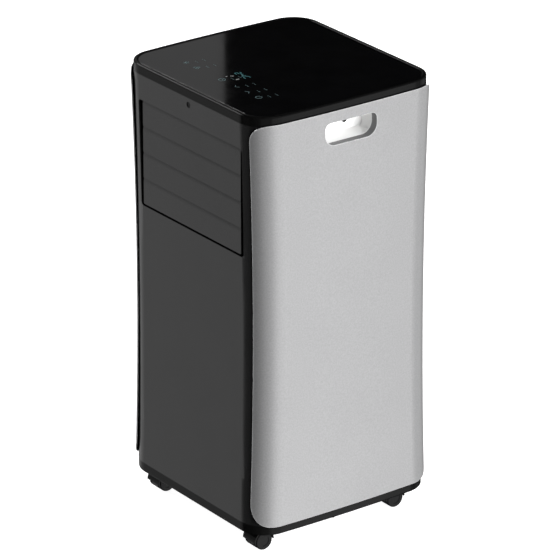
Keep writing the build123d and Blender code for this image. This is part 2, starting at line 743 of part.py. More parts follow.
def make_outlet_duct(inner):
    outside = block(-DUCT_HALF_W - DUCT_WALL, DUCT_HALF_W + DUCT_WALL, -REACH, DUCT_BACK_Y,
                    DUCT_Z0 - DUCT_WALL, DUCT_Z1 + DUCT_WALL)
    hollow = block(-DUCT_HALF_W, DUCT_HALF_W, -REACH, DUCT_BACK_Y - DUCT_WALL, DUCT_Z0, DUCT_Z1)
    duct = (outside - hollow) & inner
    throat_z0, throat_z1 = throat(EVAPORATOR_BLOWER_Z)
    throat_half = SCROLL_HALF_W - SCROLL_WALL
    duct = duct - block(-throat_half, throat_half, -REACH, 0, throat_z0, throat_z1)
    for number in range(1, SLAT_COUNT + 1):
        duct = duct - rod_x(PIVOT_R + RUN_GAP, -REACH, REACH, PIVOT_Y, slat_z(number))
    return duct


def make_guide_vanes():
    y1 = DUCT_BACK_Y - DUCT_WALL - 1
    y0 = y1 - VANE_DEPTH
    half = VANE_SPREAD + VANE_THICK
    vanes = block(-half, half, y0, y1, DUCT_Z0, DUCT_Z0 + VANE_RAIL)
    vanes = vanes + block(-half, half, y0, y1, DUCT_Z1 - VANE_RAIL, DUCT_Z1)
    for index in range(VANE_COUNT):
        x = -VANE_SPREAD + 2 * VANE_SPREAD * index / (VANE_COUNT - 1)
        vanes = vanes + block(x - VANE_THICK / 2, x + VANE_THICK / 2, y0, y1, DUCT_Z0, DUCT_Z1)
    return vanes


def make_step_motor():
    x0 = DUCT_HALF_W + DUCT_WALL
    z = slat_z(STEP_MOTOR_SLAT)
    y = PIVOT_Y + STEP_MOTOR_OFFSET
    motor = rod_x(STEP_MOTOR_R, x0, x0 + STEP_MOTOR_LENGTH, y, z)
    plug = block(x0, x0 + STEP_MOTOR_LENGTH / 2, y + STEP_MOTOR_R / 2, y + 1.4 * STEP_MOTOR_R,
                 z - STEP_MOTOR_R / 2, z + STEP_MOTOR_R / 2)
    socket = rod_x(PIVOT_R + FIT_GAP, x0 - 1, x0 + 2, PIVOT_Y, z)
    return motor + plug - socket


# Blowers
def scroll_face(grow, outlet, width_direction):
    """Scroll outline in the plane across the shaft; the outlet runs along +u."""
    points = []
    for step in range(SCROLL_STEPS + 1):
        part = step / SCROLL_STEPS
        angle = math.radians(SCROLL_TONGUE - SCROLL_TURN * part)
        radius = SCROLL_START_R + (SCROLL_END_R - SCROLL_START_R) * part + grow
        points.append((width_direction * radius * math.cos(angle), radius * math.sin(angle)))
    tongue_v = SCROLL_START_R * math.sin(math.radians(SCROLL_TONGUE)) - grow
    tongue_u = width_direction * math.sqrt((SCROLL_START_R + grow) ** 2 - tongue_v ** 2)
    points[0] = (tongue_u, tongue_v)
    top_v = SCROLL_END_R + grow
    end_u = width_direction * outlet
    curve = Spline(*points)
    lines = Polyline(points[-1], (end_u, top_v), (end_u, tongue_v), points[0])
    return make_face(Curve() + [curve, lines])


def throat(axis_z):
    tongue = SCROLL_START_R * math.sin(math.radians(SCROLL_TONGUE))
    return axis_z + tongue, axis_z + SCROLL_END_R


def make_scroll(axis_y, axis_z, outlet_y, foot_z):
    """Scroll housing with one open inlet, a closed motor side and two feet."""
    direction = 1 if outlet_y > axis_y else -1
    reach = abs(outlet_y - axis_y)
    place = Pos(-SCROLL_HALF_W, axis_y, axis_z)
    outside = place * extrude(Plane.YZ * scroll_face(SCROLL_WALL, reach, direction), 2 * SCROLL_HALF_W)
    hollow_w = 2 * (SCROLL_HALF_W - SCROLL_WALL)
    hollow = extrude(Plane.YZ * scroll_face(0, reach + 1, direction), hollow_w)
    hollow = Pos(-SCROLL_HALF_W + SCROLL_WALL, axis_y, axis_z) * hollow
    scroll = outside - hollow
    scroll = scroll - rod_x(INLET_R, 0, REACH, axis_y, axis_z)
    scroll = scroll - rod_x(SHAFT_R + FIT_GAP, -REACH, 0, axis_y, axis_z)
    return scroll + scroll_feet(axis_y, axis_z, foot_z)


def scroll_feet(axis_y, axis_z, foot_z):
    """Two ribs that tie the scroll's side plates to the deck."""
    feet = []
    rib = 3 * SCROLL_WALL
    near = SCROLL_START_R + SCROLL_WALL / 2
    attach_z = axis_z + (near if foot_z > axis_z else -near)
    for side in (-1, 1):
        x_outer = side * SCROLL_HALF_W
        x_inner = side * (SCROLL_HALF_W - SCROLL_WALL)
        feet.append(block(min(x_outer, x_inner), max(x_outer, x_inner), axis_y - rib, axis_y + rib,
                          min(attach_z, foot_z), max(attach_z, foot_z)))
    return feet


def make_drum(axis_y, axis_z):
    """Drum of blades between an end plate with a hub and a ring."""
    half = DRUM_WIDTH / 2
    plate = rod_x(DRUM_R, -half, -half + DRUM_PLATE, 0, 0)
    ring = rod_x(DRUM_R, half - DRUM_PLATE, half, 0, 0)
    ring = ring - rod_x(DRUM_R - BLADE_DEPTH, half - 2 * DRUM_PLATE, half + 1, 0, 0)
    hub = rod_x(HUB_R, -half, -half + 6 * DRUM_PLATE, 0, 0)
    shaft_end = -SCROLL_HALF_W - BLOWER_MOTOR_LENGTH / 2
    shaft = rod_x(SHAFT_R, shaft_end, -half + 2 * DRUM_PLATE, 0, 0)
    blade = Box(DRUM_WIDTH - DRUM_PLATE, BLADE_THICK, BLADE_DEPTH - 1.5)
    blade = Rot(BLADE_TILT, 0, 0) * blade
    blades = []
    for index in range(BLADE_COUNT):
        turn = Rot(360 * index / BLADE_COUNT, 0, 0)
        blades.append(turn * Pos(0, 0, DRUM_R - BLADE_DEPTH / 2) * blade)
    drum = plate + [ring, hub, shaft] + blades
    return Pos(0, axis_y, axis_z) * drum


def make_blower_motor(axis_y, axis_z):
    x1 = -SCROLL_HALF_W
    motor = rod_x(BLOWER_MOTOR_R, x1 - BLOWER_MOTOR_LENGTH, x1, axis_y, axis_z)
    outer_face = motor.faces().sort_by(Axis.X)[0]
    motor = fillet(outer_face.edges(), BLOWER_MOTOR_EDGE_R)
    bore_end = x1 - BLOWER_MOTOR_LENGTH / 2 - 1
    return motor - rod_x(SHAFT_R + RUN_GAP, bore_end, x1 + 1, axis_y, axis_z)


# Coils
def make_coil(y0, z0, z1):
    """Finned block between two end plates, with return bends on the left."""
    count = int(2 * COIL_HALF_W / FIN_PITCH)
    pitch = 2 * COIL_HALF_W / count
    spine_y = y0 + (COIL_DEPTH - COIL_SPINE) / 2
    points = [(-COIL_HALF_W, spine_y)]
    for index in range(count):
        x = -COIL_HALF_W + pitch * (index + 0.5)
        for dx, y in ((-1, spine_y), (-1, y0), (1, y0), (1, spine_y)):
            points.append((x + dx * FIN_THICK / 2, y))
    points.append((COIL_HALF_W, spine_y))
    mid_y = y0 + COIL_DEPTH / 2
    back = [(x, 2 * mid_y - y) for x, y in reversed(points)]
    fins = extrude(make_face(Polyline(*points, *back, close=True)), z1 - z0)
    coil = Pos(0, 0, z0) * fins
    for side in (-1, 1):
        inner = side * COIL_HALF_W
        outer = side * (COIL_HALF_W + COIL_PLATE)
        coil = coil + block(min(inner, outer), max(inner, outer), y0, y0 + COIL_DEPTH, z0, z1)
    bends = bend_count(z0, z1)
    for index in range(bends):
        z = z0 + 4 * BEND_R * (index + 1)
        coil = coil + return_bend(mid_y, z)
    return coil


def bend_count(z0, z1):
    return int((z1 - z0) / (4 * BEND_R)) - 1


def return_bend(y, z):
    ring = Pos(-COIL_HALF_W - COIL_PLATE, y, z) * Rot(90, 0, 0) * Torus(BEND_R, BEND_TUBE_R)
    return ring & block(-REACH, -COIL_HALF_W - COIL_PLATE / 2, -REACH, REACH, 0, 2 * REACH)


def make_drip_deck(inner):
    """Deck between the cold and the warm section, with a lip under the coil."""
    edge = straight_block(-WALL - WAIST - FIT_GAP, DECK_Z, DECK_Z + DECK_THICK)
    deck = edge & inner
    lip = block(-COIL_HALF_W - 5 * COIL_PLATE, COIL_HALF_W + 5 * COIL_PLATE, EVAPORATOR_Y - 8,
                EVAPORATOR_Y + COIL_DEPTH + 6, DECK_Z + DECK_THICK / 2, DECK_Z + DECK_THICK + DECK_LIP)
    basin = block(-COIL_HALF_W - 4 * COIL_PLATE, COIL_HALF_W + 4 * COIL_PLATE, EVAPORATOR_Y - 6,
                  EVAPORATOR_Y + COIL_DEPTH + 4, DECK_Z + DECK_THICK, DECK_Z + 2 * DECK_LIP)
    deck = deck + lip - basin
    deck = deck - rod_z(PIPE_R + FIT_GAP, SUCTION_SIDE_X, coil_pipe_y(EVAPORATOR_Y), 0, REACH)
    return deck - rod_z(CAPILLARY_R + FIT_GAP, CAPILLARY_SIDE_X, CONDENSER_Y - DRIER_R, 0, REACH)


def make_exhaust_collar():
    y1 = rear_y(COLLAR_Z)
    y0 = y1 - COLLAR_LENGTH - COLLAR_TUBE
    collar = rod_y(COLLAR_R + COLLAR_TUBE, 0, y0, y1, COLLAR_Z)
    collar = collar - rod_y(COLLAR_R, 0, y0 + COLLAR_TUBE, y1 + 1, COLLAR_Z)
    half_w = SCROLL_HALF_W - SCROLL_WALL
    throat_z0, throat_z1 = throat(condenser_blower_z())
    return collar - block(-half_w, half_w, 0, REACH, throat_z0, throat_z1)


def condenser_blower_z():
    throat_z0, throat_z1 = throat(0)
    return COLLAR_Z - (throat_z0 + throat_z1) / 2


def exhaust_inner_y():
    return rear_y(COLLAR_Z) - COLLAR_LENGTH - COLLAR_TUBE


# Intakes
def make_intake_grille(outer, inner, z_range):
    """Removable grille that follows the rear face, with a rim behind it."""
    face = (outer - inner) & intake_prism(z_range, FIT_GAP)
    slots = []
    z = z_range[0] + GRILLE_EDGE
    while z + GRILLE_SLOT <= z_range[1] - GRILLE_EDGE:
        for side in (-1, 1):
            x_in = side * GRILLE_BAR
            x_out = side * (INTAKE_HALF_W - GRILLE_EDGE)
            slots.append(block(min(x_in, x_out), max(x_in, x_out), 0, REACH, z, z + GRILLE_SLOT))
        z += GRILLE_SLOT + GRILLE_BAR
    face = face - slots
    rim_y = filter_back_y(z_range)
    rim = intake_prism(z_range, FIT_GAP) - intake_prism(z_range, FIT_GAP + RIM_WALL)
    rim = rim & block(-REACH, REACH, rim_y, REACH, 0, 2 * REACH) & outer
    return face + rim


def filter_back_y(z_range):
    shallow = min(rear_y(z_range[0]), rear_y(z_range[1]), rear_y((z_range[0] + z_range[1]) / 2))
    return shallow - WALL - GRILLE_RIM


def make_filter(z_range):
    """Filter frame with ribs and a thin sheet, held inside the grille rim."""
    gap = FIT_GAP + RIM_WALL + SEAT_GAP
    y0 = filter_back_y(z_range)
    y1 = y0 + FILTER_THICK
    slab = block(-REACH, REACH, y0, y1, 0, 2 * REACH)
    frame = (intake_prism(z_range, gap) - intake_prism(z_range, gap + FILTER_EDGE - RIM_WALL)) & slab
    inset = gap + FILTER_EDGE / 2
    x_half = INTAKE_HALF_W - inset
    z0 = z_range[0] + inset
    z1 = z_range[1] - inset
    bars = []
    for index in range(1, FILTER_COLUMNS):
        x = -x_half + 2 * x_half * index / FILTER_COLUMNS
        bars.append(block(x - FILTER_RIB / 2, x + FILTER_RIB / 2, y0, y1, z0, z1))
    for index in range(1, FILTER_ROWS):
        z = z0 + (z1 - z0) * index / FILTER_ROWS
        bars.append(block(-x_half, x_half, y0, y1, z - FILTER_RIB / 2, z + FILTER_RIB / 2))
    y_mid = (y0 + y1) / 2
    bars.append(block(-x_half, x_half, y_mid - FILTER_SHEET / 2, y_mid + FILTER_SHEET / 2, z0, z1))
    return frame + bars


# Castors
def castor_places():
    return [(side * CASTOR_X, y) for y in (CASTOR_FRONT_Y, CASTOR_REAR_Y) for side in (-1, 1)]


def make_castor_yoke(x, y):
    wheel_y = y - TRAIL
    z = WHEEL_R
    plate_top = BASE_Z0 - SWIVEL_GAP
    crown_z = z + WHEEL_R + HOOD_GAP + HOOD_THICK / 2
    yoke = rod_z(SWIVEL_PLATE_R, x, y, crown_z, plate_top)
    yoke = yoke + rod_z(STEM_R, x, y, crown_z, BASE_Z0 + STEM_LENGTH)
    hood = rod_x(WHEEL_R + HOOD_GAP + HOOD_THICK, x - WHEEL_HALF_W, x + WHEEL_HALF_W, wheel_y, z)
    hood = hood - rod_x(WHEEL_R + HOOD_GAP, x - REACH, x + REACH, wheel_y, z)
    hood = hood & block(-REACH, REACH, -REACH, REACH, z, plate_top)
    yoke = yoke + hood
    for side in (-1, 1):
        arm_x = x + side * (ROLLER_HALF_W + ARM_GAP + ARM_THICK / 2)
        arm = rod_x(ARM_R, arm_x - ARM_THICK / 2, arm_x + ARM_THICK / 2, wheel_y, z)
        arm = arm + block(arm_x - ARM_THICK / 2, arm_x + ARM_THICK / 2, wheel_y - ARM_R, wheel_y + ARM_R,
                          z, crown_z)
        yoke = yoke + arm
    return yoke - rod_x(AXLE_R + RUN_GAP, x - REACH, x + REACH, wheel_y, z)


def make_castor_wheels(x, y):
    wheel_y = y - TRAIL
    z = WHEEL_R
    inner = ROLLER_HALF_W + ARM_THICK + 2 * ARM_GAP
    disc = rod_x(WHEEL_R, inner, WHEEL_HALF_W, 0, 0)
    disc = fillet(disc.faces().sort_by(Axis.X)[-1].edges(), WHEEL_EDGE_R)
    disc = disc - rod_x(HUB_CAP_R, WHEEL_HALF_W - HUB_CAP_SINK, WHEEL_HALF_W + 1, 0, 0)
    roller = rod_x(WHEEL_R, -ROLLER_HALF_W, ROLLER_HALF_W, 0, 0)
    roller = fillet(roller.edges().filter_by(GeomType.CIRCLE), ROLLER_EDGE_R)
    axle = rod_x(AXLE_R, -inner - 1, inner + 1, 0, 0)
    return Pos(x, wheel_y, z) * (roller + [axle, disc, mirror_left(disc)])


# Compressor group
def mount_places():
    places = []
    for index in range(MOUNT_COUNT):
        angle = math.radians(90 + 360 * index / MOUNT_COUNT)
        places.append((COMPRESSOR_X + MOUNT_CIRCLE_R * math.cos(angle),
                       COMPRESSOR_Y + MOUNT_CIRCLE_R * math.sin(angle)))
    return places


def make_compressor():
    foot_z = FLOOR_Z + MOUNT_HEIGHT
    foot = rod_z(FOOT_R, COMPRESSOR_X, COMPRESSOR_Y, foot_z, foot_z + FOOT_THICK)
    body = rod_z(COMPRESSOR_R, COMPRESSOR_X, COMPRESSOR_Y, foot_z + FOOT_THICK, COMPRESSOR_TOP)
    top = body.faces().sort_by(Axis.Z)[-1]
    body = fillet(top.edges(), COMPRESSOR_DOME_R)
    return foot + body


def make_mounts():
    mounts = []
    for x, y in mount_places():
        mounts.append(rod_z(MOUNT_R, x, y, FLOOR_Z, FLOOR_Z + MOUNT_HEIGHT))
    return Compound(mounts)


def accumulator_place():
    distance = COMPRESSOR_R + ACCUMULATOR_R + ACCUMULATOR_GAP
    angle = math.radians(ACCUMULATOR_ANGLE)
    return COMPRESSOR_X + distance * math.cos(angle), COMPRESSOR_Y + distance * math.sin(angle)


def make_accumulator():
    x, y = accumulator_place()
    can = rod_z(ACCUMULATOR_R, x, y, ACCUMULATOR_Z[0], ACCUMULATOR_Z[1])
    can = fillet(can.edges().filter_by(GeomType.CIRCLE), ACCUMULATOR_R / 2)
    distance = COMPRESSOR_R + ACCUMULATOR_R + ACCUMULATOR_GAP
    strap = block(COMPRESSOR_R - 2, distance, -STRAP_HALF, STRAP_HALF,
                  STRAP_Z - STRAP_HALF, STRAP_Z + STRAP_HALF)
    strap = Pos(COMPRESSOR_X, COMPRESSOR_Y, 0) * Rot(0, 0, ACCUMULATOR_ANGLE) * strap
    shell = rod_z(COMPRESSOR_R, COMPRESSOR_X, COMPRESSOR_Y, 0, REACH)
    return can + (strap - shell)


# Pipes
def coil_pipe_y(coil_y):
    return coil_y + COIL_DEPTH / 2


def make_discharge_pipe():
    x = COMPRESSOR_X + COMPRESSOR_R / 3
    y = COMPRESSOR_Y
    coil_y = coil_pipe_y(CONDENSER_Y)
    end_z = CONDENSER_TOP - 3 * BEND_R
    rise = COMPRESSOR_TOP + 2 * PIPE_R
    points = [(x, y, COMPRESSOR_TOP), (x, y, rise + PIPE_R), (PIPE_SIDE_X, y, rise + PIPE_R),
              (PIPE_SIDE_X, coil_y, rise + PIPE_R), (PIPE_SIDE_X, coil_y, end_z),
              (COIL_HALF_W + COIL_PLATE, coil_y, end_z)]
    return tube_along(points, PIPE_BEND_R, PIPE_R)


def make_suction_pipe():
    x, y = accumulator_place()
    coil_y = coil_pipe_y(EVAPORATOR_Y)
    start_z = DECK_Z + 6 * BEND_R
    run_z = ACCUMULATOR_Z[1] + 3 * PIPE_R
    points = [(COIL_HALF_W + COIL_PLATE, coil_y, start_z), (SUCTION_SIDE_X, coil_y, start_z),
              (SUCTION_SIDE_X, coil_y, run_z), (SUCTION_SIDE_X, y, run_z), (x, y, run_z),
              (x, y, ACCUMULATOR_Z[1])]
    return tube_along(points, PIPE_BEND_R, PIPE_R)


def make_capillary():
    y = CONDENSER_Y - DRIER_R
    low_z = boss_top() + 3 * BEND_R
    coil_y = coil_pipe_y(CONDENSER_Y)
    cold_y = coil_pipe_y(EVAPORATOR_Y)
    top_z = DECK_Z + 8 * BEND_R
    side = CAPILLARY_SIDE_X
    points = [(COIL_HALF_W + COIL_PLATE, coil_y, low_z), (side, coil_y, low_z), (side, y, low_z),
              (side, y, top_z), (side, cold_y, top_z), (COIL_HALF_W + COIL_PLATE, cold_y, top_z)]
    tube = tube_along(points, CAPILLARY_BEND_R, CAPILLARY_R)
    drier = rod_z(DRIER_R, side, y, low_z + 3 * DRIER_R, low_z + 3 * DRIER_R + DRIER_LENGTH)
    drier = fillet(drier.edges().filter_by(GeomType.CIRCLE), DRIER_R / 2)
    return tube + drier


# Electrics
def make_control_box():
    """Open-fronted steel box on two legs."""
    box = block(BOX_X[0], BOX_X[1], BOX_Y[0], BOX_Y[1], BOX_Z[0], BOX_Z[1])
    box = box - block(BOX_X[0] + BOX_WALL, BOX_X[1] - BOX_WALL, BOX_Y[0] - 1, BOX_Y[1] - BOX_WALL,
                      BOX_Z[0] + BOX_WALL, BOX_Z[1] - BOX_WALL)
    for y in (BOX_Y[0], BOX_Y[1] - BOX_LEG):
        box = box + block(BOX_X[0], BOX_X[0] + BOX_LEG, y, y + BOX_LEG, FLOOR_Z, BOX_Z[0] + BOX_WALL)
    return box


def make_main_board():
    y1 = BOX_Y[1] - BOX_WALL
    margin = 2 * STANDOFF_R
    x0 = BOX_X[0] + BOX_WALL + margin
    x1 = BOX_X[1] - BOX_WALL - margin
    z0 = BOX_Z[0] + BOX_WALL + margin
    z1 = BOX_Z[1] - BOX_WALL - margin
    y_board = y1 - STANDOFF
    board = block(x0, x1, y_board - BOARD_THICK, y_board, z0, z1)
    for x in (x0 + margin, x1 - margin):
        for z in (z0 + margin, z1 - margin):
            board = board + rod_y(STANDOFF_R, x, y_board - BOARD_THICK, y1, z)
    x_mid = (x0 + x1) / 2
    z_mid = (z0 + z1) / 2
    relay = block(x_mid, x_mid + 3 * STANDOFF, y_board - BOARD_THICK - CHIP_HEIGHT, y_board - BOARD_THICK,
                  z_mid, z_mid + 4 * STANDOFF)
    return board + relay


def make_capacitor():
    x = BOX_X[0] + BOX_WALL + CAPACITOR_R + FIT_GAP
    y = BOX_Y[0] + BOX_WALL + CAPACITOR_R
    z0 = BOX_Z[0] + BOX_WALL
    can = rod_z(CAPACITOR_R, x, y, z0, z0 + CAPACITOR_LENGTH)
    top = can.faces().sort_by(Axis.Z)[-1]
    return fillet(top.edges(), CAPACITOR_R / 8)


# Sump fittings
def splash_z():
    return FLOOR_Z + SPLASH_CLEAR + SPLASH_R


def make_splash_wheel():
    disc = rod_x(SPLASH_R - PADDLE_LENGTH / 2, 0, SPLASH_THICK, 0, 0)
    paddle = block(SPLASH_THICK / 2 - PADDLE_HALF_W, SPLASH_THICK / 2 + PADDLE_HALF_W,
                   -SPLASH_THICK / 2, SPLASH_THICK / 2, SPLASH_R - PADDLE_LENGTH, SPLASH_R)
    paddles = [Rot(360 * index / PADDLE_COUNT, 0, 0) * paddle for index in range(PADDLE_COUNT)]
    shaft_end = -PADDLE_HALF_W - 2 - SPLASH_MOTOR_LENGTH / 2
    shaft = rod_x(SPLASH_SHAFT_R, shaft_end, SPLASH_THICK, 0, 0)
    return Pos(SPLASH_X, SPLASH_Y, splash_z()) * (disc + paddles + shaft)


def make_splash_motor():
    x1 = SPLASH_X - PADDLE_HALF_W - 2
    x0 = x1 - SPLASH_MOTOR_LENGTH
    z = splash_z()
    motor = rod_x(SPLASH_MOTOR_R, x0, x1, SPLASH_Y, z)
    stand = block(x0, x1, SPLASH_Y - SPLASH_MOTOR_R, SPLASH_Y + SPLASH_MOTOR_R, FLOOR_Z, z)
    bore = rod_x(SPLASH_SHAFT_R + RUN_GAP, x1 - SPLASH_MOTOR_LENGTH / 2 - 1, x1 + 1, SPLASH_Y, z)
    return motor + stand - bore


def make_float_switch():
    stem = rod_z(FLOAT_STEM_R, FLOAT_X, FLOAT_Y, FLOOR_Z, FLOOR_Z + FLOAT_HEIGHT)
    ring_z = FLOOR_Z + FLOAT_HEIGHT / 3
    ring = rod_z(FLOAT_R, FLOAT_X, FLOAT_Y, ring_z, ring_z + FLOAT_R)
    foot = rod_z(FLOAT_R, FLOAT_X, FLOAT_Y, FLOOR_Z, FLOOR_Z + WALL)
    return stem + ring + foot


def make_all():
    outer = waisted_block(0, BASE_Z1, CAP_Z0)
    inner = waisted_block(-WALL, BASE_Z1 - 1, CAP_Z0 + 1)
    lining = waisted_block(-WALL - SEAT_GAP, BASE_Z1 - 1, CAP_Z0 + 1)
    shell = make_shell(outer, inner)
    region = panel_region()
    cheek = make_rear_cheek(shell)
    cup, cup_screw = make_handle_cup()
    skin = make_side_skin(region)
    bond = panel_surface(PANEL_PROUD - SKIN_THICK - SEAT_GAP)
    carrier = make_side_carrier(bond, region)
    frame = make_handle_frame(bond, region, inner)
    warm_z = condenser_blower_z()
    exhaust_y = exhaust_inner_y()
    nodes = {
        "base_tray": make_base_tray(),
        "front_panel": make_front_panel(shell),
        "rear_panel": make_rear_panel(shell),
        "rear_cheeks": Compound([cheek, mirror_left(cheek)]),
        "top_cover": make_top_cover(),
        "control_glass": make_control_glass(),
        "display_board": make_display_board(),
        "ir_window": make_ir_window(),
        "right_side_skin": skin,
        "left_side_skin": mirror_left(skin),
        "right_side_carrier": carrier,
        "left_side_carrier": mirror_left(carrier),
        "handle_frames": Compound([frame, mirror_left(frame)]),
        "handle_cups": Compound([cup, mirror_left(cup)]),
        "handle_screws": Compound([cup_screw, mirror_left(cup_screw)]),
        "slat_link": make_link(),
        "slat_motor": make_step_motor(),
        "outlet_duct": make_outlet_duct(lining),
        "guide_vanes": make_guide_vanes(),
        "evaporator_scroll": make_scroll(EVAPORATOR_BLOWER_Y, EVAPORATOR_BLOWER_Z, DUCT_BACK_Y,
                                         DECK_Z + DECK_THICK),
        "evaporator_drum": make_drum(EVAPORATOR_BLOWER_Y, EVAPORATOR_BLOWER_Z),
        "evaporator_motor": make_blower_motor(EVAPORATOR_BLOWER_Y, EVAPORATOR_BLOWER_Z),
        "evaporator_coil": make_coil(EVAPORATOR_Y, DECK_Z + DECK_THICK, EVAPORATOR_TOP),
        "drip_deck": make_drip_deck(lining),
        "condenser_scroll": make_scroll(CONDENSER_BLOWER_Y, warm_z, exhaust_y, DECK_Z),
        "condenser_drum": make_drum(CONDENSER_BLOWER_Y, warm_z),
        "condenser_motor": make_blower_motor(CONDENSER_BLOWER_Y, warm_z),
        "condenser_coil": make_coil(CONDENSER_Y, boss_top(), CONDENSER_TOP),
        "exhaust_collar": make_exhaust_collar(),
        "upper_grille": make_intake_grille(outer, inner, UPPER_INTAKE_Z),
        "upper_filter": make_filter(UPPER_INTAKE_Z),
        "lower_grille": make_intake_grille(outer, inner, LOWER_INTAKE_Z),
        "lower_filter": make_filter(LOWER_INTAKE_Z),
        "upper_drain_plug": make_drain_plug(UPPER_DRAIN_X, UPPER_DRAIN_Z, UPPER_DRAIN_R,
                                            rear_y(UPPER_DRAIN_Z)),
        "lower_drain_plug": make_drain_plug(LOWER_DRAIN_X, lower_drain_z(), LOWER_DRAIN_R,
                                            BODY_DEPTH / 2),
        "cord_inlet": make_cord_inlet(),
        "compressor": make_compressor(),
        "compressor_mounts": make_mounts(),
        "accumulator": make_accumulator(),
        "discharge_pipe": make_discharge_pipe(),
        "suction_pipe": make_suction_pipe(),
        "capillary": make_capillary(),
        "control_box": make_control_box(),
        "main_board": make_main_board(),
        "run_capacitor": make_capacitor(),
        "splash_wheel": make_splash_wheel(),
        "splash_motor": make_splash_motor(),
        "float_switch": make_float_switch(),
    }
    for number in range(1, SLAT_COUNT + 1):
        nodes[f"slat_{number}"] = make_slat(number)
    for name, (x, y) in zip(("fl", "fr", "rl", "rr"), castor_places()):
        nodes[f"castor_{name}_yoke"] = make_castor_yoke(x, y)
        nodes[f"castor_{name}_wheels"] = make_castor_wheels(x, y)
    return nodes


if __name__ == "__main__":
    os.makedirs("parts", exist_ok=True)
    for node, shape in make_all().items():
        export_step(shape, f"parts/{node}.step")
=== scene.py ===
import math

import bmesh
import bpy
from mathutils import Matrix, Vector


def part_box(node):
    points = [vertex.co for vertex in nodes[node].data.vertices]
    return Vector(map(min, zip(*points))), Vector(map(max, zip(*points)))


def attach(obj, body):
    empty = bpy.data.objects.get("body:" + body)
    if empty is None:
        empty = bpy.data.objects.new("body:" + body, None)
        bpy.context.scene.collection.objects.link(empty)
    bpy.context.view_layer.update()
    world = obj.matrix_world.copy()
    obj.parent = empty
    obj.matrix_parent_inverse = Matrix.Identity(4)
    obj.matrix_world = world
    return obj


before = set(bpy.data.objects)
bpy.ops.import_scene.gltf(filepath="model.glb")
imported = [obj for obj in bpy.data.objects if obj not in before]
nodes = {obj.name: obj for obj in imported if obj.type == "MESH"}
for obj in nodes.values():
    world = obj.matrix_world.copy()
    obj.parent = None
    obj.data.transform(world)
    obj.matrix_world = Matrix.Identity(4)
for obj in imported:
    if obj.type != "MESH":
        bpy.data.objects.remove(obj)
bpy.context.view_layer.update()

# Camera: degrees and metres, lens and sensor in millimetres, shift in sensor widths
CAMERA_AZIMUTH = 53.71
CAMERA_ELEVATION = 22.97
CAMERA_DISTANCE = 6.563
CAMERA_TARGET = (0.0, 0.0, 0.3475)
CAMERA_LENS = 279.25
CAMERA_SENSOR = 36.0
CAMERA_SHIFT = (0.0013, 0.0122)

# Soft boxes: azimuth and elevation in degrees, distance, width and height in metres, power in watts
RIGHT_BOX = (102.0, 10.0, 7.0, 8.4, 5.8, 1650.0)
SHEEN_BOX = (107.0, -20.0, 4.0, 3.8, 2.6, 38.0)
LEFT_BOX = (-68.5, -18.0, 4.0, 4.0, 4.4, 38.0)
TOP_BOX = (100.0, 58.0, 3.5, 2.5, 1.5, 10.0)
LOW_BOX = (100.0, -50.0, 3.0, 3.0, 2.0, 22.0)
RIM_BOX = (-62.0, 35.0, 4.0, 2.5, 0.8, 90.0)
FAR_BOX = (268.0, 3.0, 4.0, 4.0, 2.0, 300.0)

# Low fill for the other sides: elevation, distance, width, height, then azimuths with powers
FILL_BOX = (-16.0, 4.0, 2.2, 1.8)
FILLS = ((-17.0, 2.0), (57.0, 5.0), (135.0, 5.0), (172.0, 6.0), (225.0, 6.0))

# Panel that the glass reflects on its left part, in metres and watts
PANEL_DISTANCE = 4.0
PANEL_EDGE = -0.135
PANEL_WIDTH = 3.0
PANEL_HEIGHT = 3.0
PANEL_Z = 2.5
PANEL_POWER = 8.0

# Surroundings: the floor is in metres and its clouds in millimetres
BACKGROUND = (1.0, 1.0, 1.0)
FLOOR_SIZE = 40.0
FLOOR_TONE = (0.5, 0.5, 0.5)
FLOOR_SHADE = 0.98
FLOOR_CLOUD_MM = 400.0
FLOOR_GLOW = 0.95
FLOOR_ROUGHNESS = 0.9

# One millimetre in the frame's metres
MM = 0.001

# Part of a noise's range that tints and roughness spread over, and the strength of every bump
NOISE_LOW = 0.3
NOISE_HIGH = 0.7
BUMP_STRENGTH = 0.6

# Side of one square of the filter's mesh
WEAVE_MM = 2.0

# Nodes behind the slats, which take the black plastic finish in place of their own slot
OUTLET_INSIDE = ("outlet_duct", "guide_vanes", "slat_link")

# Steps of a ring or arc, for marks and screw heads
ROUND_STEPS = 28

# Marks on the glass: millimetres, seen from above with +Y away from the user
MARK_LIFT = 0.03
MARK_STROKE = 0.8
MARK_ROUGHNESS = 0.4
KEY_Y = -102.0
KEY_COLUMNS = (-94.0, -66.5, -3.0, 33.0, 61.6, 88.7)
SIGN_SCALE = 1.4

# Rows by each key: a square dot, then a line
LABEL_ROWS = (-87.5, -74.5)
LABEL_SHIFT = 6.5
LABEL_DOT = 1.4
LABEL_DOT_SHIFT = -3.4
LABEL_LINE = 5.0
LABEL_LINE_SHIFT = 1.6

# Lamp strokes: x, y, length and angle
LAMP_BARS = ((-10.0, -88.9, 2.2, 60.0), (-6.9, -81.1, 5.0, 54.0), (9.5, -83.0, 6.0, 90.0))
LAMP_WIDTH = 1.5

# Display: segment a is the top one, b to f go on clockwise, and g is the middle
DISPLAY_X = 0.0
DISPLAY_Y = -67.0
DIGIT_W = 7.0
DIGIT_H = 9.0
DIGIT_STROKE = 1.2
DIGIT_PITCH = 11.0
DIGITS = "24C"
SEGMENTS = {"2": "abged", "4": "fgbc", "C": "afed"}

# Rolled edge of the side skins: millimetres, then the least bend in degrees and outward share of its edges
ROLL_R = 0.8
ROLL_STEPS = 10
ROLL_WELD = 0.001
ROLL_ANGLE = 40.0
ROLL_OUTWARD = 0.5

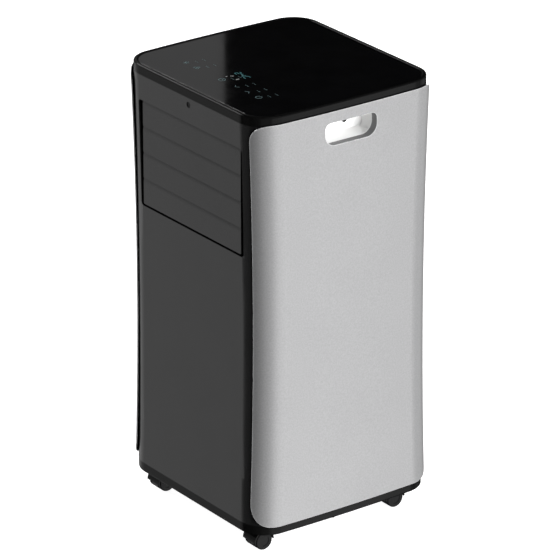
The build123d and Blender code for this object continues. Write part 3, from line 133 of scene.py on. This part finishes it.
# Rear screws: millimetres; a ring of the head is a share of the radius and a height
SCREW_X = 122.0
SCREW_HEIGHTS = (100.0, 440.0, 640.0)
SCREW_R = 3.2
SCREW_DOME = 0.8
SCREW_SINK = 0.5
SCREW_RINGS = ((0.72, SCREW_DOME), (0.9, 0.8 * SCREW_DOME), (1.0, 0.35 * SCREW_DOME), (1.0, -SCREW_SINK))
CROSS_ARM = 1.6
CROSS_HALF = 0.45
CROSS_DEPTH = 0.7
CROSS_TAPER = 0.8

# Depth from which a ray looks for the rear panel, in metres
BEHIND = 1.0


# Material nodes
def new_material(name):
    material = bpy.data.materials.new(name)
    material.use_nodes = True
    tree = material.node_tree
    return material, tree, tree.nodes["Principled BSDF"]


def noise(tree, size_mm, detail=3.0):
    """Noise in the object's own frame, with features of about size_mm."""
    coords = tree.nodes.new("ShaderNodeTexCoord")
    texture = tree.nodes.new("ShaderNodeTexNoise")
    texture.inputs["Scale"].default_value = 1.0 / (size_mm * MM)
    texture.inputs["Detail"].default_value = detail
    tree.links.new(coords.outputs["Object"], texture.inputs["Vector"])
    return texture.outputs["Fac"]


def tint(tree, factor, dark, light):
    """Colour that goes from dark to light with factor."""
    ramp = tree.nodes.new("ShaderNodeValToRGB")
    ramp.color_ramp.elements[0].position = NOISE_LOW
    ramp.color_ramp.elements[0].color = (*dark, 1.0)
    ramp.color_ramp.elements[1].position = NOISE_HIGH
    ramp.color_ramp.elements[1].color = (*light, 1.0)
    tree.links.new(factor, ramp.inputs["Fac"])
    return ramp.outputs["Color"]


def spread(tree, factor, low, high):
    """Number that goes from low to high with factor."""
    remap = tree.nodes.new("ShaderNodeMapRange")
    remap.inputs["From Min"].default_value = NOISE_LOW
    remap.inputs["From Max"].default_value = NOISE_HIGH
    remap.inputs["To Min"].default_value = low
    remap.inputs["To Max"].default_value = high
    tree.links.new(factor, remap.inputs["Value"])
    return remap.outputs["Result"]


def bump(tree, shader, factor, depth_mm):
    node = tree.nodes.new("ShaderNodeBump")
    node.inputs["Strength"].default_value = BUMP_STRENGTH
    node.inputs["Distance"].default_value = depth_mm * MM
    tree.links.new(factor, node.inputs["Height"])
    tree.links.new(node.outputs["Normal"], shader.inputs["Normal"])


def finish(name, colour, tone=0.08, roughness=(0.4, 0.5), cloud_mm=60.0, grain_mm=0.6,
           grain_depth_mm=0.02, metallic=0.0, specular=0.5):
    """Moulded or painted surface: soft tone clouds, a fine grain and uneven gloss."""
    material, tree, shader = new_material(name)
    clouds = noise(tree, cloud_mm)
    grain = noise(tree, grain_mm, detail=2.0)
    dark = [channel * (1.0 - tone) for channel in colour]
    light = [channel * (1.0 + tone) for channel in colour]
    tree.links.new(tint(tree, clouds, dark, light), shader.inputs["Base Color"])
    tree.links.new(spread(tree, clouds, *roughness), shader.inputs["Roughness"])
    shader.inputs["Metallic"].default_value = metallic
    shader.inputs["Specular IOR Level"].default_value = specular
    bump(tree, shader, grain, grain_depth_mm)
    return material


def make_silver():
    """Metallic paint: fine flakes over a slow drift of gloss."""
    material, tree, shader = new_material("silver_paint")
    flakes = noise(tree, size_mm=2.2, detail=2.0)
    base = tint(tree, flakes, dark=(0.24, 0.24, 0.243), light=(0.28, 0.28, 0.283))
    gloss = spread(tree, noise(tree, size_mm=80.0), low=0.33, high=0.38)
    tree.links.new(base, shader.inputs["Base Color"])
    tree.links.new(gloss, shader.inputs["Roughness"])
    shader.inputs["Metallic"].default_value = 0.52
    bump(tree, shader, flakes, depth_mm=0.02)
    return material


def make_glass():
    """Gloss black plate with faint wipe marks in its polish."""
    material, tree, shader = new_material("gloss_black_glass")
    wipes = noise(tree, size_mm=45.0, detail=4.0)
    base = tint(tree, wipes, dark=(0.0025, 0.0025, 0.0027), light=(0.0035, 0.0035, 0.0038))
    gloss = spread(tree, wipes, low=0.035, high=0.06)
    tree.links.new(base, shader.inputs["Base Color"])
    tree.links.new(gloss, shader.inputs["Roughness"])
    return material


def make_filter_weave():
    """Fine square mesh of dark threads."""
    material, tree, shader = new_material("filter_weave")
    coords = tree.nodes.new("ShaderNodeTexCoord")
    weave = tree.nodes.new("ShaderNodeTexChecker")
    weave.inputs["Scale"].default_value = 1.0 / (WEAVE_MM * MM)
    weave.inputs["Color1"].default_value = (0.03, 0.032, 0.034, 1.0)
    weave.inputs["Color2"].default_value = (0.12, 0.125, 0.13, 1.0)
    gloss = spread(tree, noise(tree, size_mm=20.0), low=0.6, high=0.75)
    tree.links.new(coords.outputs["Object"], weave.inputs["Vector"])
    tree.links.new(weave.outputs["Color"], shader.inputs["Base Color"])
    tree.links.new(gloss, shader.inputs["Roughness"])
    bump(tree, shader, weave.outputs["Fac"], depth_mm=0.1)
    return material


def make_mark(name, dark, light, glow):
    """Mark on the glass that glows; on a printed mark the glow is painted light, on a lit one it is the
    lamp.
    """
    material, tree, shader = new_material(name)
    colour = tint(tree, noise(tree, size_mm=3.0), dark, light)
    tree.links.new(colour, shader.inputs["Base Color"])
    tree.links.new(colour, shader.inputs["Emission Color"])
    shader.inputs["Emission Strength"].default_value = glow
    shader.inputs["Roughness"].default_value = MARK_ROUGHNESS
    return material


def make_plastics():
    """Plastics, castors and the circuit board."""
    return {
        "front_grey": finish("front_grey_plastic", (0.007, 0.007, 0.0072), roughness=(0.22, 0.27)),
        "black_plastic": finish("black_moulded_plastic", (0.003, 0.003, 0.003), tone=0.1,
                                roughness=(0.14, 0.18), specular=0.1),
        "collar_grey": finish("collar_grey_plastic", (0.14, 0.14, 0.142), tone=0.05, roughness=(0.45, 0.55)),
        "pocket_white": finish("pocket_white_plastic", (0.79, 0.79, 0.786), tone=0.02,
                               roughness=(0.45, 0.55)),
        "smoked": finish("smoked_lens", (0.003, 0.0028, 0.0032), tone=0.1, roughness=(0.1, 0.16),
                         specular=0.12),
        "inner_grey": finish("inner_grey_plastic", (0.16, 0.16, 0.165), tone=0.06, roughness=(0.5, 0.6)),
        "black_rubber": finish("castor_black", (0.003, 0.003, 0.0032), tone=0.15, roughness=(0.2, 0.3),
                               cloud_mm=10.0, specular=0.12),
        "board_green": finish("circuit_board", (0.03, 0.14, 0.06), tone=0.15, roughness=(0.3, 0.45),
                              cloud_mm=8.0),
    }


def make_metals():
    """Metals, bare or painted, and the lighter silver of the rolled edges, a painted highlight."""
    return {
        "steel": finish("zinc_steel", (0.55, 0.55, 0.56), tone=0.12, roughness=(0.3, 0.45),
                        cloud_mm=12.0, metallic=1.0),
        "black_steel": finish("black_enamel", (0.02, 0.02, 0.021), tone=0.12, roughness=(0.25, 0.4),
                              cloud_mm=40.0),
        "fin_aluminium": finish("fin_aluminium", (0.72, 0.73, 0.74), tone=0.08, roughness=(0.35, 0.5),
                                cloud_mm=15.0, metallic=1.0),
        "copper": finish("copper_pipe", (0.75, 0.37, 0.22), tone=0.15, roughness=(0.25, 0.4),
                         cloud_mm=18.0, metallic=1.0),
        # Rolled edges: lighter and less metallic than the silver paint, so they show as painted highlight
        # lines
        "silver_edge_painted_highlight": finish("silver_edge_painted_highlight", (0.42, 0.42, 0.424), tone=0.05, roughness=(0.25, 0.32),
                              cloud_mm=40.0, metallic=0.3),
    }


def make_materials():
    """Finishes by the record's material slots, and the lighter silver of the rolled edges, a painted
    highlight.
    """
    special = {"silver": make_silver(), "black_glass": make_glass(), "filter_mesh": make_filter_weave()}
    return {**make_plastics(), **make_metals(), **special}


def dress_nodes(finishes):
    """Gives each node the finish of its material slot, and the nodes behind the slats black plastic."""
    for obj in nodes.values():
        for slot in obj.material_slots:
            slot.material = finishes[slot.material.name.split(".")[0]]
    for name in OUTLET_INSIDE:
        nodes[name].material_slots[0].material = finishes["black_plastic"]


# Flat marks, in millimetres on the glass
def bar(strokes, x, y, length, width=MARK_STROKE, angle=0.0):
    """One straight stroke, centred on x, y."""
    turn = Matrix.Rotation(math.radians(angle), 2)
    corners = ((-1, -1), (1, -1), (1, 1), (-1, 1))
    strokes.append([Vector((x, y)) + turn @ Vector((sx * length / 2, sy * width / 2)) for sx, sy in corners])


def arc(strokes, x, y, radius, start=0.0, end=360.0):
    """Ring or part of one, drawn as short strokes."""
    inner = radius - MARK_STROKE / 2
    outer = radius + MARK_STROKE / 2
    for step in range(ROUND_STEPS):
        a0 = math.radians(start + (end - start) * step / ROUND_STEPS)
        a1 = math.radians(start + (end - start) * (step + 1) / ROUND_STEPS)
        corners = ((inner, a0), (outer, a0), (outer, a1), (inner, a1))
        strokes.append([Vector((x + r * math.cos(a), y + r * math.sin(a))) for r, a in corners])


def power_sign(strokes):
    arc(strokes, 0, 0, radius=3.4, start=125.0, end=415.0)
    bar(strokes, 0, 2.6, length=4.0, angle=90.0)


def clock_sign(strokes):
    arc(strokes, 0, 0, radius=3.6)
    bar(strokes, 0, 1.1, length=2.4, angle=90.0)
    bar(strokes, 0.9, 0, length=2.0)


def fan_sign(strokes, reach=2.0):
    for turn in (90.0, 210.0, 330.0):
        angle = math.radians(turn)
        arc(strokes, reach * math.cos(angle), reach * math.sin(angle), radius=1.5)


def cold_sign(strokes):
    for turn in (30.0, 90.0, 150.0):
        bar(strokes, 0, 0, length=7.2, angle=turn)


def arrow_sign(strokes, slope):
    for side in (-1, 1):
        bar(strokes, 1.7 * side, 0, length=4.8, angle=-slope * side)


def down_sign(strokes):
    arrow_sign(strokes, slope=-40.0)


def up_sign(strokes):
    arrow_sign(strokes, slope=40.0)


def place_sign(strokes, sign, x, y):
    """Draws one sign at SIGN_SCALE with its middle on x, y."""
    shape = []
    sign(shape)
    for stroke in shape:
        strokes.append([Vector((x, y)) + point * SIGN_SCALE for point in stroke])


def label_marks(strokes, x):
    """Two short rows that stand for the settings of a key."""
    for row in LABEL_ROWS:
        bar(strokes, x + LABEL_DOT_SHIFT, row, LABEL_DOT, LABEL_DOT)
        bar(strokes, x + LABEL_LINE_SHIFT, row, LABEL_LINE)


def digit(strokes, x, y, shape):
    """One character of the display, centred on x, y."""
    half_w = DIGIT_W / 2
    half_h = DIGIT_H / 2
    places = {"a": (0, half_h, 0), "g": (0, 0, 0), "d": (0, -half_h, 0),
              "f": (-half_w, half_h / 2, 90), "b": (half_w, half_h / 2, 90),
              "e": (-half_w, -half_h / 2, 90), "c": (half_w, -half_h / 2, 90)}
    for segment in SEGMENTS[shape]:
        dx, dy, angle = places[segment]
        length = DIGIT_W - DIGIT_STROKE if angle == 0 else half_h - DIGIT_STROKE / 2
        bar(strokes, x + dx, y + dy, length, DIGIT_STROKE, angle)


def add_piece(name, mesh, place=Matrix.Identity(4)):
    """Puts a mesh at its place and lets it move with the case."""
    piece = bpy.data.objects.new(name, mesh)
    bpy.context.scene.collection.objects.link(piece)
    piece.matrix_world = place
    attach(piece, "chassis")


def flat_piece(name, strokes, material):
    """Joins strokes into one thin mesh that lies on the glass."""
    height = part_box("control_glass")[1][2] + MARK_LIFT * MM
    mesh = bpy.data.meshes.new(name)
    shape = bmesh.new()
    for stroke in strokes:
        corners = [shape.verts.new((point.x * MM, point.y * MM, height)) for point in stroke]
        shape.faces.new(corners)
    shape.normal_update()
    for face in shape.faces:
        if face.normal.z < 0:
            face.normal_flip()
    shape.to_mesh(mesh)
    shape.free()
    mesh.materials.append(material)
    add_piece(name, mesh)


def make_marks():
    # The printed key marks glow faintly although they are printed, not lit: a painted glow. The display and
    # lamp bars are real lamps
    printed_with_painted_glow = make_mark("printed_mark_painted_glow", dark=(0.05, 0.085, 0.09), light=(0.08, 0.12, 0.125), glow=0.35)
    lit = make_mark("lit_mark", dark=(0.03, 0.11, 0.12), light=(0.045, 0.15, 0.16), glow=0.5)
    white = make_mark("white_lamp", dark=(0.25, 0.26, 0.26), light=(0.32, 0.33, 0.33), glow=0.5)
    keys = []
    signs = (cold_sign, fan_sign, clock_sign, down_sign, up_sign, power_sign)
    for sign, x in zip(signs, KEY_COLUMNS):
        place_sign(keys, sign, x, KEY_Y)
        label_marks(keys, x + LABEL_SHIFT)
    flat_piece("key_marks", keys, printed_with_painted_glow)
    lamp_bars = []
    for x, y, length, angle in LAMP_BARS:
        bar(lamp_bars, x, y, length, LAMP_WIDTH, angle)
    flat_piece("lamp_bars", lamp_bars, white)
    lamps = []
    first = DISPLAY_X - DIGIT_PITCH * (len(DIGITS) - 1) / 2
    for index, shape in enumerate(DIGITS):
        digit(lamps, first + DIGIT_PITCH * index, DISPLAY_Y, shape)
    flat_piece("display_digits", lamps, lit)


# Rolled edges of the side skins
def outward_share(face):
    """How far a face looks away from the upright axis of the case, -1 to 1."""
    away = face.calc_center_median()
    away.z = 0.0
    return face.normal.dot(away.normalized())


def rim_loops(skin):
    """Loops of (place, outward, wallward) along the skin's outer edges."""
    shape = bmesh.new()
    shape.from_mesh(skin.data)
    bmesh.ops.remove_doubles(shape, verts=shape.verts, dist=ROLL_WELD * MM)
    shape.normal_update()
    links = {}
    sides = {}
    for edge in shape.edges:
        faces = sorted(edge.link_faces, key=outward_share)
        if len(faces) != 2 or faces[1].normal.angle(faces[0].normal) < math.radians(ROLL_ANGLE):
            continue
        if outward_share(faces[1]) < ROLL_OUTWARD:
            continue
        for vert in edge.verts:
            links.setdefault(vert, []).append(edge.other_vert(vert))
            outward, wallward = sides.setdefault(vert, (Vector(), Vector()))
            outward += faces[1].normal
            wallward += faces[0].normal
    loops = []
    waiting = set(links)
    while waiting:
        vert = min(waiting, key=lambda item: item.index)
        loop = []
        while vert in waiting:
            waiting.remove(vert)
            outward, wallward = sides[vert]
            loop.append((vert.co.copy(), outward.normalized(), wallward.normalized()))
            ahead = [other for other in links[vert] if other in waiting]
            vert = ahead[0] if ahead else vert
        loops.append(loop)
    shape.free()
    return loops


def make_rolled_edge(node, name, material):
    """Round bead along the outline and the handle cut-out of one skin; the finish it is given is lighter
    than the silver, a painted highlight.
    """
    shape = bmesh.new()
    for loop in rim_loops(nodes[node]):
        rings = []
        for place, outward, wallward in loop:
            middle = place - outward * ROLL_R * MM
            ring = []
            for step in range(ROLL_STEPS):
                turn = 2 * math.pi * step / ROLL_STEPS
                arm = outward * math.cos(turn) + wallward * math.sin(turn)
                ring.append(shape.verts.new(middle + arm * ROLL_R * MM))
            rings.append(ring)
        for index, ring in enumerate(rings):
            after = rings[(index + 1) % len(rings)]
            for step in range(ROLL_STEPS):
                ahead = (step + 1) % ROLL_STEPS
                shape.faces.new((ring[step], ring[ahead], after[ahead], after[step]))
    bmesh.ops.recalc_face_normals(shape, faces=shape.faces)
    for face in shape.faces:
        face.smooth = True
    mesh = bpy.data.meshes.new(name)
    shape.to_mesh(mesh)
    shape.free()
    mesh.materials.append(material)
    add_piece(name, mesh)


# Rear screws
def circle(radius):
    """Points round a circle, in the unit of its radius."""
    turns = [2 * math.pi * step / ROUND_STEPS for step in range(ROUND_STEPS)]
    return [(radius * math.cos(turn), radius * math.sin(turn)) for turn in turns]


def cross_outline(arm, half):
    """Corners of a cross whose arms reach arm and are two halves wide."""
    return [(half, half), (arm, half), (arm, -half), (half, -half), (half, -arm), (-half, -arm),
            (-half, -half), (-arm, -half), (-arm, half), (-half, half), (-half, arm), (half, arm)]


def level_ring(shape, points, height):
    """New vertices at one height, from millimetres."""
    return [shape.verts.new((x * MM, y * MM, height * MM)) for x, y in points]


def screw_mesh():
    """Low domed head with a cross recess, axis along +Z, sizes in metres."""
    shape = bmesh.new()
    mouth = cross_outline(CROSS_ARM, CROSS_HALF)
    bottom = cross_outline(CROSS_ARM * CROSS_TAPER, CROSS_HALF * CROSS_TAPER)
    top = level_ring(shape, mouth, SCREW_DOME)
    floor = level_ring(shape, bottom, SCREW_DOME - CROSS_DEPTH)
    rings = [level_ring(shape, circle(SCREW_R * share), height) for share, height in SCREW_RINGS]
    edges = []
    for loop in (top, rings[0]):
        for index, vert in enumerate(loop):
            edges.append(shape.edges.new((vert, loop[(index + 1) % len(loop)])))
    bmesh.ops.triangle_fill(shape, edges=edges, use_beauty=True)
    for low, high in [(floor, top)] + list(zip(rings[1:], rings[:-1])):
        count = len(low)
        for index in range(count):
            after = (index + 1) % count
            shape.faces.new((low[index], low[after], high[after], high[index]))
    shape.faces.new(floor)
    bmesh.ops.recalc_face_normals(shape, faces=shape.faces)
    mesh = bpy.data.meshes.new("rear_screw")
    shape.to_mesh(mesh)
    shape.free()
    return mesh


def make_screws(material):
    """Screws square to the rear panel, in two columns."""
    mesh = screw_mesh()
    mesh.materials.append(material)
    spots = [(side * SCREW_X * MM, height * MM) for height in SCREW_HEIGHTS for side in (-1, 1)]
    for index, (x, z) in enumerate(spots):
        found, place, normal, _ = nodes["rear_panel"].ray_cast(Vector((x, BEHIND, z)), Vector((0, -1, 0)))
        if not found:
            raise RuntimeError("a rear screw has no panel behind it")
        turn = normal.to_track_quat("Z", "Y").to_matrix().to_4x4()
        add_piece(f"rear_screw_{index}", mesh, Matrix.Translation(place) @ turn)


# Stage, light and camera
def make_floor():
    """Pale floor for the camera; it stays out of the object's light."""
    bpy.ops.mesh.primitive_plane_add(size=FLOOR_SIZE)
    floor = bpy.context.object
    floor.name = "studio_floor"
    floor.visible_diffuse = False
    floor.visible_glossy = False
    floor.visible_shadow = False
    material, tree, shader = new_material("pale_floor")
    shade = [FLOOR_SHADE * value for value in FLOOR_TONE]
    tone = tint(tree, noise(tree, FLOOR_CLOUD_MM), shade, FLOOR_TONE)
    tree.links.new(tone, shader.inputs["Base Color"])
    shader.inputs["Emission Color"].default_value = (1.0, 1.0, 1.0, 1.0)
    shader.inputs["Emission Strength"].default_value = FLOOR_GLOW
    shader.inputs["Roughness"].default_value = FLOOR_ROUGHNESS
    shader.inputs["Specular IOR Level"].default_value = 0.0
    floor.data.materials.append(material)


def direction(azimuth, elevation):
    """Unit vector: azimuth 0 is the front, -Y, and grows towards +X."""
    az = math.radians(azimuth)
    el = math.radians(elevation)
    return Vector((math.sin(az) * math.cos(el), -math.cos(az) * math.cos(el), math.sin(el)))


def area_light(name, place, facing, width, height, power, glossy=True):
    """Rectangular light with its back towards facing; a glossy one shows in reflections."""
    light = bpy.data.lights.new(name, "AREA")
    light.shape = "RECTANGLE"
    light.size = width
    light.size_y = height
    light.energy = power
    box = bpy.data.objects.new(name, light)
    box.location = place
    box.rotation_euler = facing.to_track_quat("Z", "Y").to_euler()
    box.visible_camera = False
    box.visible_glossy = glossy
    bpy.context.scene.collection.objects.link(box)


def soft_box(name, azimuth, elevation, distance, width, height, power, glossy=True):
    """Light that looks at the camera's target from a direction."""
    facing = direction(azimuth, elevation)
    place = Vector(CAMERA_TARGET) + facing * distance
    area_light(name, place, facing, width, height, power, glossy)


def make_lights():
    """The two strongest boxes stay out of reflections, so that the glass stays dark."""
    soft_box("right_soft_box", *RIGHT_BOX, glossy=False)
    soft_box("sheen_soft_box", *SHEEN_BOX)
    soft_box("left_soft_box", *LEFT_BOX)
    soft_box("top_soft_box", *TOP_BOX)
    soft_box("low_soft_box", *LOW_BOX)
    soft_box("rim_soft_box", *RIM_BOX)
    soft_box("far_soft_box", *FAR_BOX, glossy=False)
    for index, (azimuth, power) in enumerate(FILLS):
        soft_box(f"fill_soft_box_{index}", azimuth, *FILL_BOX, power)
    towards = direction(CAMERA_AZIMUTH, 0.0)
    right = Vector((-towards.y, towards.x, 0.0))
    sideways = right * (PANEL_EDGE - PANEL_WIDTH / 2)
    place = -towards * PANEL_DISTANCE + sideways + Vector((0, 0, PANEL_Z))
    area_light("glass_panel", place, -towards, PANEL_WIDTH, PANEL_HEIGHT, PANEL_POWER)


def make_sky():
    """Pale backdrop for the camera; the soft boxes alone light the object."""
    world = bpy.data.worlds.new("studio")
    bpy.context.scene.world = world
    world.use_nodes = True
    background = world.node_tree.nodes["Background"]
    background.inputs["Color"].default_value = (*BACKGROUND, 1.0)
    world.cycles_visibility.diffuse = False
    world.cycles_visibility.glossy = False
    world.cycles_visibility.transmission = False


def make_camera():
    data = bpy.data.cameras.new("photo_camera")
    data.lens = CAMERA_LENS
    data.sensor_width = CAMERA_SENSOR
    data.shift_x, data.shift_y = CAMERA_SHIFT
    data.dof.use_dof = False
    camera = bpy.data.objects.new("photo_camera", data)
    back = direction(CAMERA_AZIMUTH, CAMERA_ELEVATION)
    camera.location = Vector(CAMERA_TARGET) + back * CAMERA_DISTANCE
    camera.rotation_euler = back.to_track_quat("Z", "Y").to_euler()
    bpy.context.scene.collection.objects.link(camera)
    bpy.context.scene.camera = camera


finishes = make_materials()
dress_nodes(finishes)
make_marks()
# The rolled edges take the lighter silver: painted highlight lines along the skins' outlines and handle
# cut-outs
make_rolled_edge("right_side_skin", "right_rolled_edge", finishes["silver_edge_painted_highlight"])
make_rolled_edge("left_side_skin", "left_rolled_edge", finishes["silver_edge_painted_highlight"])
make_screws(finishes["black_steel"])
make_floor()
make_lights()
make_sky()
make_camera()
bpy.context.scene.view_settings.view_transform = "Standard"
